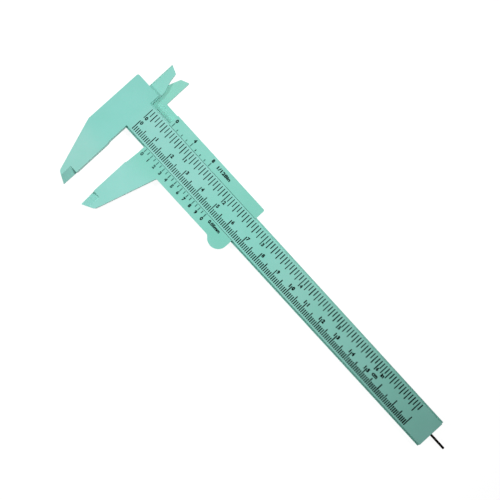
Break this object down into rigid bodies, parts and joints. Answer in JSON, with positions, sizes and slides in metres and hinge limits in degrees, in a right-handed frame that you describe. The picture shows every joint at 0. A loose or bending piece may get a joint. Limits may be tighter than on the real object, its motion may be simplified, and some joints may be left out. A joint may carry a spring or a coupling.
{
  "type": "plastic vernier caliper",
  "caption": "Moulded plastic vernier caliper with outside jaws, crossing inside jaws, a captive slider with vernier scales, and a steel depth rod.",
  "frame": {"origin": "on the head's back face, at the fixed outside measuring face and the beam's centre line", "axes": "+X along the beam from the fixed measuring face to the free end, +Y across the beam towards the inside jaws, +Z from the back that it lies on to the scales"},
  "size_m": [0.2177, 0.072, 0.0059],
  "materials": {
    "mint_plastic": "satin injection moulded mint green",
    "steel_wire": "drawn wire, dark",
    "scale_ink": "printed ink, near black"
  },
  "bodies": {
    "beam": {"beam_with_fixed_jaws": "mint_plastic", "mm_scale_marks": "scale_ink", "inch_scale_marks": "scale_ink"},
    "slider": {"slider_with_moving_jaws": "mint_plastic", "depth_rod": "steel_wire", "mm_vernier_marks": "scale_ink", "inch_vernier_marks": "scale_ink"}
  },
  "joints": [
    {"name": "slider_slide", "type": "slide", "parent": "beam", "child": "slider", "axis": [1, 0, 0], "range_m": [-0.0112, 0.1388]}
  ]
}
